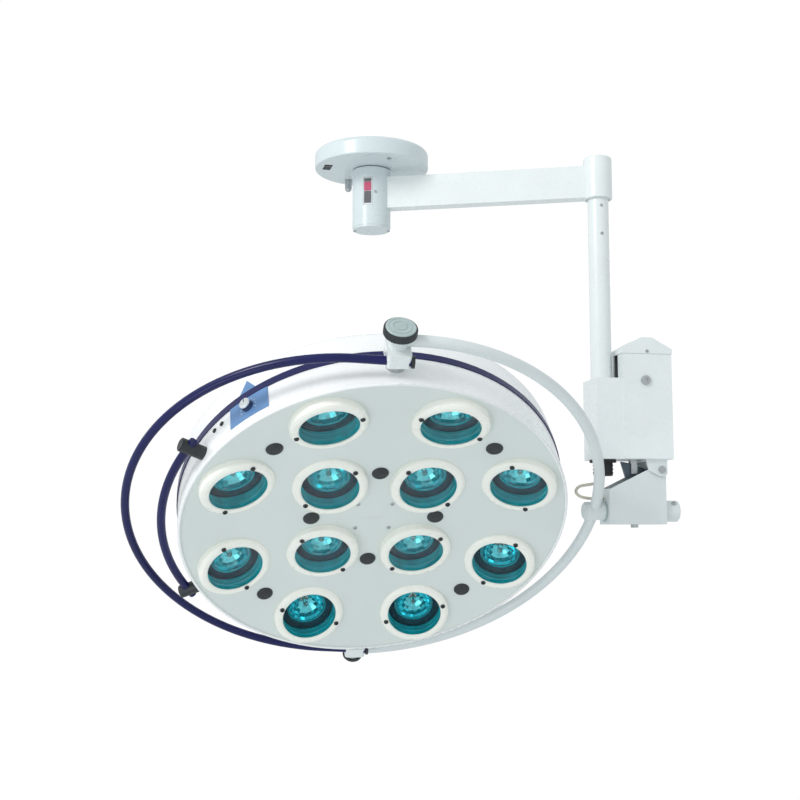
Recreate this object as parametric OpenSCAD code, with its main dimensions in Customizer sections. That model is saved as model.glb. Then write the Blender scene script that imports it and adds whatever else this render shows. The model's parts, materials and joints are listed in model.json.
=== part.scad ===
// Ceiling-mounted operating light: a round, dished head with twelve lamps turns inside a yoke ring.
// The yoke rolls on a balanced swing joint below a drop tube, and the tube hangs from a swivel arm.
// Millimetres, +Z up, +X along the arm. Origin: centre of the ceiling plate's top face.

/* [Ceiling mount] */
// Diameter of the ceiling canopy
canopy_d = 227; // [222:1:250]
// Height of the ceiling canopy
canopy_h = 36; // [36:1:36]
// Diameter of the bolt circle in the ceiling plate
bolt_circle_d = 130; // [110:1:140]
// Diameter of the ceiling bolt holes
bolt_hole_d = 11; // [8:0.5:13]

/* [Arm] */
// Distance from the stem's axis to the drop tube's axis
arm_len = 448; // [300:1:900]
// Height of the arm's box section
arm_h = 63; // [50:1:66]
// Width of the arm's box section
arm_w = 30; // [24:1:36]
// Diameter of the stem that swivels under the canopy
stem_d = 76; // [74:1:82]

/* [Drop tube and balance box] */
// Diameter of the drop tube
tube_d = 40; // [40:1:40]
// Turn of the drop tube against the arm, as stored
drop_yaw = 20.4; // [-90:0.1:90]
// Height of the yoke's shaft below the ceiling
shaft_drop = 720; // [720:1:720]
// Depth of the balance box, front to back
box_depth = 80; // [80:1:90]

/* [Yoke and handle rail] */
// Distance from the drop tube's axis to the head's centre
head_reach = 438; // [438:1:438]
// Sag of the yoke below the line of its shaft
yoke_sag = 0.8; // [0:0.1:1]
// Tilt of the head from facing straight down, as stored
head_tilt = 41.7; // [0:0.1:50]
// Radius of the yoke ring's main arc
yoke_r = 405; // [400:1:405]
// Diameter of the yoke ring's tube
yoke_tube_d = 20; // [16:1:22]
// Radius of the handle rail's half circle
rail_r = 378; // [376:1:380]
// Diameter of the handle rail's tube
rail_tube_d = 15; // [12:1:16]

/* [Head] */
// Outside diameter of the head
head_d = 700; // [700:1:700]
// Depth of the head from rim to back
head_depth = 142; // [130:1:160]
// Depth of the dish in the lamp face
dish_depth = 34.5; // [30:0.5:38]
// Radius of the ring of eight outer lamps, along the dish
outer_ring_r = 270; // [262:1:274]
// Radius of the ring of four inner lamps
inner_ring_r = 123; // [118:1:130]
// Inward aim of the outer lamps against the dish
outer_aim = 6.5; // [0:0.5:7]
// Outward aim of the inner lamps against the dish
inner_aim = 5; // [0:0.5:6]

/* [Hidden] */
$fn = 96;
eps = 0.5;         // overshoot of cutting bodies
fit = 0.06;        // radial clearance of a running fit
sheet = 2.5;       // wall of the balance box

// Ceiling plate, spindle and canopy
flange_r = 100;
flange_t = 8;
spindle_r = 15;
wire_bore_r = 12;
spindle_bore_r = 9;
canopy_wall = 2;
canopy_top_round = 10;
canopy_low_round = 3;
pillar_circle_r = 89;
pillar_r = 6;
pillar_angles = [34.5, 124.5, -55.5];
stop_angle = 138.5;
stop_circle_r = 80.6;
stop_r = 7;
stop_end_z = -61.5;
switch_angle = 205;
switch_circle_r = 90;
paddle_w = 14;
paddle_len = 27;
paddle_pivot_z = -28;

// Stem
stem_r = stem_d / 2;
stem_top_z = -37.5;
stem_low_z = -155;
bearing_r = 26;
bearing_h = 12;
bearing_zs = [-54, -130];
stem_bore_r = 22;
nut_cavity_r = 30;
nut_z = -142;
nut_h = 11.7;
cap_t = 5;
window_w = 17;
window_h = 54;
window_z = -88;
window_flat_y = -35;
cap_screw_r = 30;

// Arm beam and end collar
arm_z = -86.5;
arm_wall = 3;
collar_r = 27.5;
collar_top_z = -37.5;
collar_low_z = -120.5;
collar_bore_r = 24;
collar_cap_t = 8.5;
bush_zs = [-66, -118];
bush_hs = [14, 18];

// Drop tube
tube_r = tube_d / 2;
tube_wall = 3;
tube_top_z = -47.5;
tube_low_z = -610;
retainer_r = 23.4;
retainer_h = 4.2;
set_screw_zs = [-136, -191];

// Balance box
box_y = box_depth / 2;
box_x0 = -23;
box_x1 = 124.5;
box_step_x = 28;
box_low_z = -624;
box_step_z = -472;
box_top_z = -416;
roof_z = -394;
roof_skirt = 9;
roof_lip = 1.8;
cover_t = 1.8;
cover_bolt_x = 72;
cover_bolt_z = -476;
shelf_z = -608;
shelf_t = 10;
core_front_y = 30;

// Swing hinge, crank and spring
hinge_x = 103;
hinge_z = -643;
hinge_pin_r = 5;
ear_in = 30.5;
ear_t = 4;
channel_y = 29;
channel_wall = 3;
channel_x0 = 2;
channel_x1 = 113;
channel_low_z = -745;
crank_x = 59;
crank_t = 8;
crank_pin_r = 4;
crank_slot_r = 4.5;
crank_slot_run = 3.5;
rod_r = 5;
rod_cup_z = -452;
spring_r = 14;
spring_wire_r = 2.4;
spring_turns = 9;
spring_steps = 12;

// Yoke shaft, knuckle and brake hub, along the shaft from the drop tube's axis
shaft_r = 12;
knuckle_r = 17;
knuckle_x0 = -40;
knuckle_x1 = -0.4;
shaft_end_x = 142;
bush_r = 16;
bush_flange_r = 20;
hub_x1 = 145;
hub_r = 20;
brake_x = 133;
brake_turn = 45;

// Yoke ring, measured from the head's centre
yoke_c = 13;
yoke_tube_r = yoke_tube_d / 2;

// Handle rail
rail_c = -65;
rail_y = rail_r;
rail_z = -19.5;
rail_tilt = 5;
rail_tube_r = rail_tube_d / 2;

// Pivot blocks and studs, on the head's turning axis
block_in = 369;
block_out = 394.5;
block_w = 40;
block_z0 = -28.5;
block_z1 = 20;
block_round = 6;
stud_r = 9;
pivot_bush_r = 11;
eye_r = 15.5;
eye_out = 415.5;
knob_r = 28;
knob_in = 416;
knob_out = 434.5;

// Head shell; z is 0 on the turning axis and rises into the head
head_r = head_d / 2;
rim_z = -40;
seam_z = 30;
back_z = rim_z + head_depth;
shell_t = 2;
back_round = 25;
bead_r = 3;
lip_t = 0.55;
face_r = 345;
dish_r = (pow(head_r, 2) + pow(dish_depth, 2)) / (2 * dish_depth);
dish_c = rim_z + dish_depth - dish_r;
band_h = 15;
band_t = 2;

// Lamps, in the frame of one lamp: z is 0 on the face and rises into the head
lamp_rise = 2.5;
lamp_hole_r = 56;
bezel_r = 66.5;
bezel_h = 10.6;
glass_r = 53.5;
glass_t = 3;
glass_z = -9.6;
cup_depth = 23;
cup_out_r = 53.3;
cup_in_r = 51;
cup_hole_r = 34.5;
reflector_in_r = 36;
reflector_z = 11.5;
reflector_t = 1.5;
reflector_hole_r = 8;
bezel_screw_r = 57.5;
plug_r = 15;
outer_plug_r = 267.5;
inner_plug_r = 113.5;
centre_screw_pos = 31;

// Side grip and wall controls, as angles round the head from +X
grip_r = 378;
grip_z = -16;
grip_half_a = 31.5;
post_half_a = 29;
post_r = 12;
post_out = 394;
panel_a = 228.1;
panel_w = 80;
panel_low_z = -25;
panel_top_z = 22;
panel_tip_z = 64;
panel_tip_half = 17.5;
panel_t = 1.5;
dimmer_r = 10;
dimmer_h = 13;
dot_angles = [214.8, 218];
dot_r = 4.2;
dot_z = 7;

// Cable loop from the gland to the swing channel, in the drop frame
cable_r = 2.8;
cable_sides = 10;
cable_end_z = -696.5;
cable_route = [
    [0, 3, -650], [-1, 3, -658], [-8, 4, -665], [-19, 5, -669], [-31, 6, -671], [-42, 6, -673],
    [-49, 6, -677], [-52, 6, -683], [-49.5, 6, -688.5], [-43, 6, -693], [-33, 6, -695.5],
    [-21, 6, -696.5], [-9, 6, cable_end_z], [0, 6, cable_end_z], [8, 6, cable_end_z]
];

// ---------------------------------------------------------------- frames

module drop_frame() {
    translate([arm_len, 0, 0]) rotate([0, 0, drop_yaw]) children();
}

// Origin on the yoke shaft at the drop tube's axis, x along the shaft away from the head
module shaft_frame() {
    drop_frame() translate([0, 0, -shaft_drop]) children();
}

// Origin at the head's centre, z into the head, y along the head's turning axis
module head_frame() {
    shaft_frame() rotate([0, -yoke_sag, 0]) translate([-head_reach, 0, 0])
        rotate([-head_tilt, 0, 0]) children();
}

module rail_frame() {
    head_frame() translate([0, 0, rail_z]) rotate([0, rail_tilt, 0]) children();
}

// One place on the dished face at radius r and angle a, square to the dish
module face_at(r, a) {
    translate([0, 0, dish_c]) rotate([0, 0, a]) rotate([0, asin(r / dish_r), 0])
        translate([0, 0, dish_r]) children();
}

module at_lamps() {
    for (k = [0:7]) face_at(outer_ring_r, 22.5 + 45 * k) rotate([0, outer_aim, 0])
        translate([0, 0, -lamp_rise]) children();
    for (k = [0:3]) face_at(inner_ring_r, 45 + 90 * k) rotate([0, -inner_aim, 0])
        translate([0, 0, -lamp_rise]) children();
}

module at_plugs() {
    for (k = [0:3]) face_at(outer_plug_r, 45 + 90 * k) children();
    for (k = [0:3]) face_at(inner_plug_r, 90 * k) children();
}

module at_centre_screws() {
    for (x = [-1, 1], y = [-1, 1])
        face_at(centre_screw_pos * sqrt(2), atan2(y, x)) children();
}

// One place on the head's side wall at angle a: x points outward, z along the wall
module wall_at(a) {
    rotate([0, 0, a]) translate([head_r, 0, 0]) children();
}

// ---------------------------------------------------------------- shared shapes

// Half profile of a round slab with rounded lower and upper edges
module slab_profile(r, z0, z1, low, high) {
    translate([0, z0 + low]) square([r, z1 - z0 - low - high]);
    translate([0, z0]) square([r - low, z1 - z0 - high]);
    translate([0, z1 - high - eps]) square([r - high, high + eps]);
    if (low > 0) translate([r - low, z0 + low]) circle(low);
    if (high > 0) translate([r - high, z1 - high]) circle(high);
}

module slab(r, z0, z1, low, high) {
    rotate_extrude() slab_profile(r, z0, z1, low, high);
}

module ring(r_out, r_in, z0, z1) {
    translate([0, 0, z0]) difference() {
        cylinder(r = r_out, h = z1 - z0);
        translate([0, 0, -eps]) cylinder(r = r_in, h = z1 - z0 + 2 * eps);
    }
}

// Box between two corners
module block(a, b) {
    translate(a) cube(b - a);
}

// Cylinder along x from x0 to x1
module x_rod(r, x0, x1) {
    translate([x0, 0, 0]) rotate([0, 90, 0]) cylinder(r = r, h = x1 - x0);
}

// Cylinder along y from y0 to y1
module y_rod(r, y0, y1) {
    translate([0, y0, 0]) rotate([-90, 0, 0]) cylinder(r = r, h = y1 - y0);
}

// Plate of a given x-z outline between two y planes
module y_plate(points, y0, y1) {
    translate([0, y1, 0]) rotate([90, 0, 0]) linear_extrude(height = y1 - y0) polygon(points);
}

module rounded_rect(w, h, r) {
    square([w - 2 * r, h], center = true);
    square([w, h - 2 * r], center = true);
    for (x = [-1, 1], y = [-1, 1]) translate([x * (w / 2 - r), y * (h / 2 - r)]) circle(r);
}

// Socket-head screw along z: the head's top at z = 0, the shank below it
module cap_screw(head_r, head_h, shank_r, shank_len) {
    difference() {
        translate([0, 0, -head_h]) cylinder(r = head_r, h = head_h);
        translate([0, 0, -head_h * 0.6]) cylinder(r = head_r * 0.5, h = head_h, $fn = 6);
    }
    translate([0, 0, -head_h - shank_len]) cylinder(r = shank_r, h = shank_len);
}

// How far the dish falls away from its tangent plane at radius r
function dip(r) = dish_r - sqrt(pow(dish_r, 2) - pow(r, 2));

function unit(v) = v / norm(v);

// Direction of a route at point i
function heading(p, i) = unit(p[min(i + 1, len(p) - 1)] - p[max(i - 1, 0)]);

// Ring of points round a route's point, square to its direction
function cable_ring(p, i, r, sides) =
    let (t = heading(p, i), n = unit(cross(t, [0, 1, 0])), b = cross(t, n))
    [for (s = [0:sides - 1]) p[i] + r * (cos(360 * s / sides) * n + sin(360 * s / sides) * b)];

// Ring of points round a helix at step i, in the plane of the axis
function helix_ring(i, r, wire, z0, rise, steps, sides) =
    let (a = 360 * i / steps, c = [cos(a), sin(a), 0], z = z0 + rise * i / steps)
    [for (s = [0:sides - 1])
        (r + wire * cos(360 * s / sides)) * c + [0, 0, z - wire * sin(360 * s / sides)]];

// Closed skin over a list of rings of equal size
module skin(rings) {
    sides = len(rings[0]);
    last = len(rings) - 1;
    points = [for (ring = rings) for (p = ring) p];
    side_faces = [for (i = [0:last - 1], s = [0:sides - 1])
        [i * sides + s, i * sides + (s + 1) % sides,
            (i + 1) * sides + (s + 1) % sides, (i + 1) * sides + s]];
    ends = [[for (s = [sides - 1:-1:0]) s], [for (s = [0:sides - 1]) last * sides + s]];
    polyhedron(points, concat(side_faces, ends));
}

// ---------------------------------------------------------------- ceiling mount

module mounting_flange() {
    color("lightgray") difference() {
        union() {
            translate([0, 0, -flange_t]) cylinder(r = flange_r, h = flange_t);
            for (a = pillar_angles) rotate([0, 0, a])
                translate([pillar_circle_r, 0, -canopy_h + canopy_wall])
                    cylinder(r = pillar_r, h = canopy_h - canopy_wall - flange_t + eps);
        }
        translate([0, 0, -flange_t - eps]) cylinder(r = wire_bore_r, h = flange_t + 2 * eps);
        for (a = [0:90:270]) rotate([0, 0, a + 45])
            translate([bolt_circle_d / 2, 0, -flange_t - eps])
                cylinder(d = bolt_hole_d, h = flange_t + 2 * eps);
        for (a = pillar_angles) rotate([0, 0, a])
            translate([pillar_circle_r, 0, -canopy_h]) cylinder(r = 2, h = 18);
    }
}

module spindle() {
    color("silver") difference() {
        union() {
            translate([0, 0, nut_z - 4]) cylinder(r = spindle_r, h = -flange_t - nut_z + 4);
            translate([0, 0, -flange_t - 6]) cylinder(r = 24, h = 6);
        }
        translate([0, 0, nut_z - 4 - eps]) cylinder(r = spindle_bore_r, h = -nut_z + 4);
    }
}

module switch_place() {
    rotate([0, 0, switch_angle]) translate([switch_circle_r, 0, 0]) children();
}

module canopy_cover() {
    r = canopy_d / 2;
    color("white") difference() {
        slab(r, -canopy_h, 0, canopy_low_round, canopy_top_round);
        slab(r - canopy_wall, -canopy_h + canopy_wall, -canopy_wall,
            canopy_low_round - canopy_wall, canopy_top_round - canopy_wall);
        translate([0, 0, -canopy_wall - 2]) cylinder(r = flange_r + 1.5, h = canopy_wall + 3);
        translate([0, 0, -canopy_h - 1]) cylinder(r = spindle_r + 3, h = 5);
        rotate([0, 0, stop_angle]) translate([stop_circle_r, 0, -canopy_h - 1])
            cylinder(r = stop_r + 0.2, h = 5);
        for (a = pillar_angles) rotate([0, 0, a])
            translate([pillar_circle_r, 0, -canopy_h - 1]) cylinder(r = 2, h = 5);
        switch_place() block([-8, -16, -canopy_h - 1], [8, 16, -canopy_h + 4]);
    }
}

module canopy_screws() {
    color("gray") for (a = pillar_angles) rotate([0, 0, a])
        translate([pillar_circle_r, 0, -canopy_h - 2]) mirror([0, 0, 1])
            cap_screw(4.5, 2, 2, 12);
}

module terminal_block() {
    color("ivory") rotate([0, 0, 80]) translate([52, 0, 0]) difference() {
        block([-11, -27, -26], [11, 27, -flange_t]);
        for (i = [-2:2], side = [-1, 1]) translate([side * 6, i * 10.5, -26 - eps])
            cylinder(r = 2.4, h = 9, $fn = 24);
    }
}

module retaining_nut() {
    color("silver") translate([0, 0, nut_z]) difference() {
        cylinder(r = 24, h = nut_h, $fn = 6);
        translate([0, 0, -eps]) cylinder(r = spindle_r, h = nut_h + 2 * eps);
    }
}

module stop_pin() {
    color("lightgray") rotate([0, 0, stop_angle]) translate([stop_circle_r, 0, 0]) {
        translate([0, 0, stop_end_z + stop_r])
            cylinder(r = stop_r, h = -flange_t - stop_end_z - stop_r);
        translate([0, 0, stop_end_z + stop_r]) sphere(stop_r);
    }
}

module switch_body() {
    color("dimgray") switch_place() difference() {
        block([-9.5, -18, -canopy_h + canopy_wall], [9.5, 18, -flange_t]);
        block([-7.4, -15.4, -canopy_h], [7.4, 15.4, -16]);
        translate([0, 0, paddle_pivot_z]) x_rod(2, -9.6, 9.6);
    }
}

module switch_paddle() {
    half = paddle_len / 2;
    color("black") switch_place() {
        rotate([0, 0, 90]) y_plate([[-half, -37.2], [0, -35.6], [half, -37.2], [half, -31],
            [5, -22], [-5, -22], [-half, -31]], -paddle_w / 2, paddle_w / 2);
        translate([0, 0, paddle_pivot_z]) x_rod(2 - fit, -9, 9);
    }
}

// ---------------------------------------------------------------- stem and arm

module stem_sleeve() {
    color("white") difference() {
        slab(stem_r, stem_low_z, stem_top_z, 0, 2);
        translate([0, 0, stem_low_z - eps])
            cylinder(r = stem_bore_r, h = stem_top_z - stem_low_z + 2 * eps);
        for (z = bearing_zs) translate([0, 0, z]) cylinder(r = bearing_r, h = bearing_h);
        translate([0, 0, bearing_zs[0] + bearing_h - eps])
            cylinder(r = bearing_r, h = 10);
        translate([0, 0, stem_low_z - eps])
            cylinder(r = nut_cavity_r, h = bearing_zs[1] - stem_low_z + eps);
        block([-window_w / 2 - 1, -stem_r - 1, window_z - window_h / 2 - 1],
            [window_w / 2 + 1, window_flat_y, window_z + window_h / 2 + 1]);
        for (a = [10, 190]) rotate([0, 0, a]) translate([cap_screw_r + 4, 0, stem_low_z - eps])
            cylinder(r = 1.8, h = 12, $fn = 24);
        rotate([0, 0, -66]) translate([0, 0, window_z - 2]) x_rod(2.8, stem_r - 1, stem_r + 2);
    }
}

module stem_bearings() {
    color("silver") for (z = bearing_zs) ring(bearing_r, spindle_r + fit, z, z + bearing_h);
}

module stem_cap() {
    color("gainsboro") difference() {
        union() {
            slab(stem_r - 0.8, stem_low_z - cap_t, stem_low_z, 1.5, 0);
            translate([0, 0, stem_low_z - eps]) cylinder(r = nut_cavity_r - 0.1, h = 5 + eps);
        }
        for (a = [10, 190]) rotate([0, 0, a])
            translate([cap_screw_r + 4, 0, stem_low_z - cap_t - eps]) cylinder(r = 1.8, h = 12);
    }
}

module stem_screws() {
    color("gray") {
        for (a = [10, 190]) rotate([0, 0, a])
            translate([cap_screw_r + 4, 0, stem_low_z - cap_t - 1.5]) mirror([0, 0, 1])
                cap_screw(3, 1.5, 1.8, 12);
        rotate([0, 0, -66]) translate([stem_r, 0, window_z - 2]) rotate([0, 90, 0])
            translate([0, 0, -1]) cylinder(r = 2.8, h = 2.2);
    }
}

module stem_window() {
    color("firebrick") block([-window_w / 2, window_flat_y - 1.6, window_z - window_h / 2],
        [window_w / 2, window_flat_y, window_z + window_h / 2]);
}

module arm_beam() {
    color("white") difference() {
        block([0, -arm_w / 2, arm_z - arm_h / 2], [arm_len, arm_w / 2, arm_z + arm_h / 2]);
        block([-1, -arm_w / 2 + arm_wall, arm_z - arm_h / 2 + arm_wall],
            [arm_len + 1, arm_w / 2 - arm_wall, arm_z + arm_h / 2 - arm_wall]);
        translate([0, 0, stem_low_z]) cylinder(r = stem_r, h = 130);
        translate([arm_len, 0, stem_low_z]) cylinder(r = collar_r, h = 130);
    }
}

module arm_collar() {
    color("white") translate([arm_len, 0, 0]) difference() {
        slab(collar_r, collar_low_z, collar_top_z - collar_cap_t + 3, 2, 0);
        translate([0, 0, collar_low_z - eps]) cylinder(r = 21, h = 100);
        translate([0, 0, bush_zs[0]]) cylinder(r = collar_bore_r, h = 40);
        translate([0, 0, collar_low_z - eps])
            cylinder(r = collar_bore_r, h = bush_zs[1] + bush_hs[1] - collar_low_z + eps);
    }
}

module collar_cap() {
    z0 = collar_top_z - collar_cap_t + 3;
    color("white") translate([arm_len, 0, 0]) {
        difference() {
            slab(collar_r, z0, collar_top_z, 0, 5);
            translate([0, 0, z0 - 10]) cylinder(r = collar_r + 1, h = 10);
        }
        translate([0, 0, collar_top_z - collar_cap_t]) cylinder(r = collar_bore_r - 0.1, h = 4);
    }
}

module drop_bushes() {
    color("peru") translate([arm_len, 0, 0]) for (i = [0, 1])
        ring(collar_bore_r, tube_r + fit, bush_zs[i], bush_zs[i] + bush_hs[i]);
}

// ---------------------------------------------------------------- drop tube and balance box

module drop_tube() {
    color("white") drop_frame() difference() {
        union() {
            translate([0, 0, tube_low_z]) cylinder(r = tube_r, h = tube_top_z - tube_low_z);
            translate([0, 0, bush_zs[0] + bush_hs[0] + 0.1]) cylinder(r = retainer_r, h = retainer_h);
        }
        translate([0, 0, tube_low_z - eps])
            cylinder(r = tube_r - tube_wall, h = tube_top_z - tube_low_z + 2 * eps);
        for (z = set_screw_zs) translate([0, 0, z]) y_rod(3, -tube_r - 1, -tube_r + 4);
    }
}

module core_casting() {
    color("darkgray") drop_frame() difference() {
        union() {
            block([box_x0 + sheet, -core_front_y, box_low_z + sheet], [26, core_front_y, -480]);
            block([26 - eps, -box_y + sheet, shelf_z],
                [box_x1 - sheet, box_y - sheet, shelf_z + shelf_t]);
            for (y = [-24, 18]) block([25, y, shelf_z + shelf_t - eps], [34, y + 6, -520]);
        }
        translate([0, 0, tube_low_z]) cylinder(r = tube_r, h = 140);
        translate([0, 0, -623]) cylinder(r = spindle_bore_r, h = 20);
        translate([crank_x, 0, shelf_z - 1]) cylinder(r = rod_r + fit, h = shelf_t + 2);
    }
}

module balance_housing() {
    color("whitesmoke") drop_frame() difference() {
        union() {
            block([box_x0, -box_y, box_low_z], [box_x1, box_y, box_step_z]);
            block([box_step_x, -box_y, box_step_z - eps], [box_x1, box_y, box_top_z]);
        }
        block([box_x0 + sheet, -box_y + sheet, box_low_z + sheet],
            [box_x1 - sheet, box_y - sheet, box_step_z - sheet]);
        block([box_step_x + sheet, -box_y + sheet, box_step_z - 20],
            [box_x1 - sheet, box_y - sheet, box_top_z + 1]);
        block([box_step_x + 5, -box_y - 1, box_low_z + 8], [box_x1 - 5, 0, box_top_z - 10]);
        translate([0, 0, box_step_z - 10]) cylinder(r = tube_r + 0.3, h = 20);
        translate([0, 0, box_low_z - 1]) cylinder(r = 8, h = 6);
        block([30, -9.5, box_low_z - 1], [71, 9.5, box_low_z + 4]);
        block([box_step_x - 1, -15, box_step_z + 4], [box_step_x + 4, 8, box_top_z - 8]);
    }
}

module front_cover() {
    w = box_x1 - box_step_x;
    h = box_top_z - roof_skirt - box_low_z - 2;
    color("whitesmoke") drop_frame() difference() {
        translate([box_step_x + w / 2, -box_y, box_low_z + 1 + h / 2]) rotate([90, 0, 0])
            linear_extrude(height = cover_t) rounded_rect(w, h, 2);
        translate([cover_bolt_x, 0, cover_bolt_z]) y_rod(4, -box_y - 5, 0);
    }
}

module roof_cap() {
    mid = (box_step_x + box_x1) / 2;
    x0 = box_step_x - roof_lip;
    x1 = box_x1 + roof_lip;
    color("gainsboro") drop_frame() difference() {
        y_plate([[x0, box_top_z - roof_skirt], [x1, box_top_z - roof_skirt], [x1, box_top_z],
            [mid + 10, roof_z], [mid - 10, roof_z], [x0, box_top_z]],
            -box_y - roof_lip, box_y + roof_lip);
        y_plate([[x0 + roof_lip, box_top_z - roof_skirt - 1],
            [x1 - roof_lip, box_top_z - roof_skirt - 1], [x1 - roof_lip, box_top_z],
            [x1 - roof_lip - 6, box_top_z], [mid + 9, roof_z - 2.5], [mid - 9, roof_z - 2.5],
            [x0 + roof_lip + 6, box_top_z], [x0 + roof_lip, box_top_z]], -box_y, box_y);
        translate([mid, 0, box_top_z - roof_skirt / 2]) y_rod(1.5, -box_y - 5, -box_y + 1);
    }
}

module box_screws() {
    mid = (box_step_x + box_x1) / 2;
    color("silver") drop_frame() {
        translate([cover_bolt_x, -box_y - cover_t - 4, cover_bolt_z]) rotate([90, 0, 0])
            cap_screw(9, 4, 4, 16);
        translate([mid, -box_y - roof_lip - 1.2, box_top_z - roof_skirt / 2]) rotate([90, 0, 0])
            cap_screw(3, 1.2, 1.5, roof_lip);
        for (z = set_screw_zs) translate([0, 0, z]) y_rod(3, -tube_r - 0.6, -tube_r + 2.6);
    }
}

module cable_gland() {
    color("black") drop_frame() difference() {
        union() {
            translate([0, 0, box_low_z - 5]) cylinder(r = 25, h = 5);
            translate([0, 0, box_low_z - 30]) cylinder(r = 18, h = 26);
            for (i = [0:2]) translate([0, 0, box_low_z - 12 - 7 * i]) cylinder(r = 19, h = 3);
        }
        translate([0, 3, box_low_z - 31]) cylinder(r = cable_r + 0.2, h = 20);
    }
}

module hinge_bracket() {
    x0 = 73;
    x1 = 114;
    color("gainsboro") drop_frame() difference() {
        union() {
            block([x0, -ear_in - ear_t, box_low_z - 4], [x1, ear_in + ear_t, box_low_z]);
            for (y = [-ear_in - ear_t, ear_in]) y_plate([[x0, box_low_z - 3], [x1, box_low_z - 3],
                [x1, -652], [106, -656], [98, -655], [x0 + 5, -645]], y, y + ear_t);
        }
        translate([hinge_x, 0, hinge_z]) y_rod(hinge_pin_r, -60, 60);
    }
}

module hinge_pin() {
    out = ear_in + ear_t;
    color("silver") drop_frame() translate([hinge_x, 0, hinge_z]) {
        y_rod(hinge_pin_r, -out, out + 4);
        y_rod(7, -out - 2.5, -out);
        y_rod(7, out, out + 2.5);
    }
}

module balance_spring() {
    z0 = shelf_z + shelf_t + spring_wire_r;
    rise = (rod_cup_z - spring_wire_r - z0) / spring_turns;
    color("slategray") drop_frame() translate([crank_x, 0, 0])
        skin([for (i = [0:spring_turns * spring_steps])
            helix_ring(i, spring_r, spring_wire_r, z0, rise, spring_steps, 6)]);
}

module spring_rod() {
    y_in = crank_t / 2 + 0.4;
    y_out = y_in + 4;
    color("silver") drop_frame() translate([crank_x, 0, 0]) {
        translate([0, 0, -623]) cylinder(r = rod_r, h = 185);
        translate([0, 0, rod_cup_z]) cylinder(r = 18, h = 5);
        translate([0, 0, rod_cup_z + 5 - eps]) cylinder(r = 9, h = 7, $fn = 6);
        block([-6, -y_out, -626], [6, y_out, -620]);
        for (y = [-y_out, y_in]) block([-6, y, -650], [6, y + 4, -625]);
        translate([0, 0, hinge_z]) y_rod(crank_pin_r, -y_out - 1, y_out + 1);
    }
}

module loop_cable() {
    color("khaki") drop_frame()
        skin([for (i = [0:len(cable_route) - 1]) cable_ring(cable_route, i, cable_r, cable_sides)]);
}

// ---------------------------------------------------------------- swing body

module swing_channel() {
    inner_y = channel_y - channel_wall;
    x_in0 = channel_x0 + channel_wall;
    x_in1 = channel_x1 - channel_wall;
    color("lightgray") drop_frame() difference() {
        y_plate([[channel_x0, channel_low_z], [channel_x1, channel_low_z], [channel_x1, -642],
            [107, -634], [98, -634], [78, -643], [channel_x0, -680]], -channel_y, channel_y);
        block([x_in0, -inner_y, channel_low_z + channel_wall], [x_in1, inner_y, -600]);
        translate([hinge_x, 0, hinge_z]) y_rod(hinge_pin_r + fit, -40, 40);
        translate([0, 0, -shaft_drop]) x_rod(bush_r, channel_x0 - 1, channel_x1 + 1);
        translate([0, 6, cable_end_z]) x_rod(cable_r + 0.3, channel_x0 - 1, channel_x0 + 6);
        translate([60, 0, channel_low_z - 1]) cylinder(r = 4, h = 6);
    }
}

module crank_lever() {
    color("darkslategray") drop_frame() difference() {
        union() {
            y_plate([[35, -627], [47, -629], [83, -641], [hinge_x, -638], [hinge_x, -650],
                [62, -662], [44, -657]], -crank_t / 2, crank_t / 2);
            translate([hinge_x, 0, hinge_z])
                y_rod(6.8, -channel_y + channel_wall, channel_y - channel_wall);
        }
        translate([hinge_x, 0, hinge_z]) y_rod(hinge_pin_r + fit, -40, 40);
        translate([crank_x, 0, hinge_z]) {
            y_rod(crank_slot_r, -9, 9);
            translate([-crank_slot_run, 0, 0]) y_rod(crank_slot_r, -9, 9);
            block([-crank_slot_run, -9, -crank_slot_r], [0, 9, crank_slot_r]);
        }
    }
}

module shaft_bushes() {
    color("peru") shaft_frame() difference() {
        union() {
            x_rod(bush_r, channel_x0, 16);
            x_rod(bush_flange_r, 0, channel_x0);
            x_rod(bush_r, 99, channel_x1);
            x_rod(bush_flange_r, channel_x1, channel_x1 + 2);
        }
        x_rod(shaft_r + fit, -2, 120);
    }
}

module brake_hub() {
    color("lightgray") shaft_frame() difference() {
        union() {
            x_rod(hub_r, channel_x1 + 2, hub_x1 - 2);
            x_rod(hub_r - 2, hub_x1 - 3, hub_x1);
        }
        x_rod(shaft_r + fit, channel_x1, hub_x1 - 2);
        translate([brake_x, 0, 0]) rotate([brake_turn, 0, 0]) {
            cylinder(r = 3, h = 30);
            translate([0, 0, hub_r - 0.8]) cylinder(r = 4.6, h = 10);
        }
    }
}

module swing_screws() {
    color("dimgray") {
        shaft_frame() translate([brake_x, 0, 0]) rotate([brake_turn, 0, 0])
            translate([0, 0, hub_r + 2.2]) cap_screw(4.5, 3, 3, hub_r - shaft_r - 1.2);
        drop_frame() translate([60, 0, channel_low_z - 6]) {
            cylinder(r = 7.5, h = 6, $fn = 6);
            cylinder(r = 4, h = 16);
        }
    }
}

// ---------------------------------------------------------------- yoke and handle rail

module yoke_shaft() {
    color("silver") shaft_frame() x_rod(shaft_r, -24, shaft_end_x);
}

module yoke_knuckle() {
    color("lightgray") shaft_frame() difference() {
        union() {
            x_rod(knuckle_r, knuckle_x0 + 3, knuckle_x1);
            x_rod(knuckle_r - 3, knuckle_x0, knuckle_x0 + 4);
        }
        x_rod(shaft_r, -24, 10);
    }
}

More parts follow.
